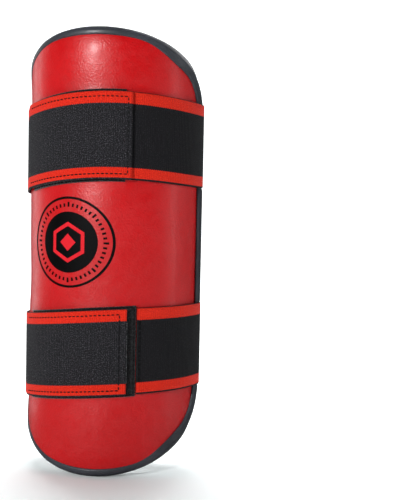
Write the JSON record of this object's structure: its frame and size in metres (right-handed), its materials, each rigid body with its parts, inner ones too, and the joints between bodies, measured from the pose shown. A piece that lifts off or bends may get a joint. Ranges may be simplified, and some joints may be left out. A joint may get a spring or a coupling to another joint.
{
  "type": "forearm guard",
  "caption": "Padded half-round forearm guard with a leather-look front, bound edge, fabric lining and elastic hook-and-loop straps that open.",
  "frame": {"origin": "on the limb axis, half-way along the guard, at the centre of the round the lining is curved to", "axes": "+Z along the limb axis towards the upper strap's end, -Y towards the front cover, +Y out of the mouth at the back, +X towards the side where the straps are sewn on"},
  "size_m": [0.1108, 0.0607, 0.257],
  "materials": {
    "cover_leather": "satin grained synthetic leather",
    "binding_leather": "satin dark grey synthetic leather",
    "lining_fabric": "smooth dark satin-backed nylon",
    "firm_foam": "closed-cell EVA foam",
    "soft_foam": "open-cell polyurethane foam",
    "elastic_webbing": "ribbed woven elastic with a red stripe along each edge",
    "loop_tape": "brushed nylon loop pile",
    "hook_tape": "moulded nylon hooks on woven tape",
    "dark_thread": "bonded polyester thread",
    "emblem_print": "matte black transfer print"
  },
  "bodies": {
    "root": {"front_cover": "cover_leather", "firm_foam_layer": "firm_foam", "soft_foam_layer": "soft_foam", "inner_lining": "lining_fabric", "edge_binding": "binding_leather", "binding_thread": "dark_thread", "emblem_ring": "emblem_print", "emblem_disc": "emblem_print", "upper_loop_tape": "loop_tape", "upper_loop_tape_thread": "dark_thread", "upper_strap_anchor": "elastic_webbing", "upper_anchor_thread": "dark_thread", "upper_right_fold": "elastic_webbing", "lower_loop_tape": "loop_tape", "lower_loop_tape_thread": "dark_thread", "lower_strap_anchor": "elastic_webbing", "lower_anchor_thread": "dark_thread", "lower_right_fold": "elastic_webbing"},
    "upper_span": {"upper_back_span": "elastic_webbing", "upper_left_fold": "elastic_webbing"},
    "upper_flap": {"upper_strap_flap": "elastic_webbing", "upper_hook_tape": "hook_tape", "upper_flap_thread": "dark_thread"},
    "lower_span": {"lower_back_span": "elastic_webbing", "lower_left_fold": "elastic_webbing"},
    "lower_flap": {"lower_strap_flap": "elastic_webbing", "lower_hook_tape": "hook_tape", "lower_flap_thread": "dark_thread"}
  },
  "joints": [
    {"name": "upper_strap_swing", "type": "hinge", "parent": "root", "child": "upper_span", "pos_m": [0.04667, -0.00555, 0.0675], "axis": [0, 0, -1], "range_deg": [0, 80], "deforming": ["upper_right_fold"]},
    {"name": "upper_flap_peel", "type": "hinge", "parent": "upper_span", "child": "upper_flap", "pos_m": [-0.04667, -0.00555, 0.0675], "axis": [0, 0, -1], "range_deg": [0, 128], "deforming": ["upper_left_fold"]},
    {"name": "lower_strap_swing", "type": "hinge", "parent": "root", "child": "lower_span", "pos_m": [0.04667, -0.00555, -0.057], "axis": [0, 0, -1], "range_deg": [0, 80], "deforming": ["lower_right_fold"]},
    {"name": "lower_flap_peel", "type": "hinge", "parent": "lower_span", "child": "lower_flap", "pos_m": [-0.04667, -0.00555, -0.057], "axis": [0, 0, -1], "range_deg": [0, 128], "deforming": ["lower_left_fold"]}
  ],
  "couplings": [
    {"joint": "upper_flap_peel", "follows": "upper_strap_swing", "ratio": 1.6},
    {"joint": "lower_flap_peel", "follows": "lower_strap_swing", "ratio": 1.6}
  ]
}
